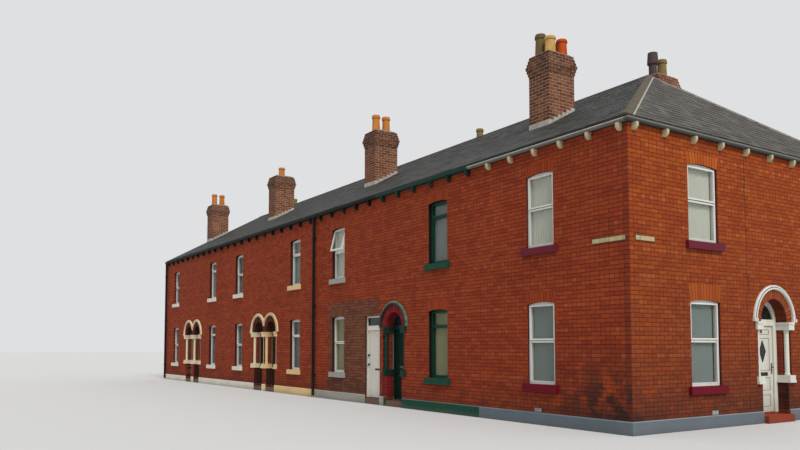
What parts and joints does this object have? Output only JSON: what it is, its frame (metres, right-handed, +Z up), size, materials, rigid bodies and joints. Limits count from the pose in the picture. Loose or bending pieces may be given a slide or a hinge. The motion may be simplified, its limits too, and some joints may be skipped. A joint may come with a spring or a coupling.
{
  "type": "terraced house row",
  "caption": "End of a brick terrace: a hipped corner house with a side street door, then houses in handed pairs with arched doorways, box gutters and chimney stacks; street doors open.",
  "frame": {"origin": "middle of the row's footprint, at pavement level, on the underside of the middle house's ground floor", "axes": "+Z up, +X along the row towards the side street end, -Y towards the street front"},
  "size_m": [29.025, 10.256, 9.87],
  "materials": {
    "brick": "matt fired clay",
    "stack_brick": "matt sooted clay",
    "slate": "matt riven slate",
    "stone": "matt stone",
    "floorboards": "bare boards",
    "plinth_paint": "masonry paint",
    "sill_paint": "masonry paint",
    "white_frame": "satin white",
    "green_paint": "gloss paint",
    "surround_paint": "masonry paint",
    "glass": "clear glass",
    "lead": "weathered lead",
    "pale_paint": "weathered paint",
    "black_paint": "gloss paint",
    "pot_clay": "fired clay",
    "cowl": "sooted clay"
  },
  "bodies": {
    "row": {"ground_floor": "stone", "upper_floor": "floorboards", "party_walls": "brick", "end_party_wall": "brick", "front_wall_ground": "brick", "front_door_piers": "brick", "front_door_arches": "brick", "front_wall_upper": "brick", "end_wall_ground": "brick", "end_door_arch": "brick", "end_wall_upper": "brick", "rear_wall_ground": "brick", "rear_wall_upper": "brick", "plinths": "plinth_paint", "window_sills": "sill_paint", "white_window_frames": "white_frame", "green_window_frames": "green_paint", "ground_window_glass": "glass", "upper_window_glass": "glass", "hood_moulds": "surround_paint", "impost_blocks": "surround_paint", "base_blocks": "surround_paint", "nook_shafts": "surround_paint", "fixed_doors": "white_frame", "door_jambs": "white_frame", "door_heads": "white_frame", "fanlight_glass": "glass", "door_steps": "stone", "front_roof_slope": "slate", "rear_roof_slope": "slate", "hipped_roof_end": "slate", "ridge_tiles": "slate", "hip_flashings": "lead", "gutter_brackets": "pale_paint", "pale_gutters": "pale_paint", "green_gutter": "green_paint", "black_gutters": "black_paint", "downpipes": "black_paint", "front_stacks": "stack_brick", "rear_stacks": "stack_brick", "stack_flashings": "lead", "chimney_pots": "pot_clay", "cowled_pot": "cowl"},
    "corner_door": {"corner_door": "white_frame"},
    "green_door": {"green_door": "green_paint"},
    "white_door": {"white_door": "white_frame"}
  },
  "joints": [
    {"name": "corner_door_hinge", "type": "hinge", "parent": "row", "child": "corner_door", "pos_m": [14.0825, -0.771, 1.1], "axis": [0, 0, 1], "range_deg": [0, 90]},
    {"name": "green_door_hinge", "type": "hinge", "parent": "row", "child": "green_door", "pos_m": [6.1915, -4.66, 1.1], "axis": [0, 0, 1], "range_deg": [0, 90]},
    {"name": "white_door_hinge", "type": "hinge", "parent": "row", "child": "white_door", "pos_m": [5.7935, -4.85, 1.1], "axis": [0, 0, -1], "range_deg": [0, 90]}
  ]
}
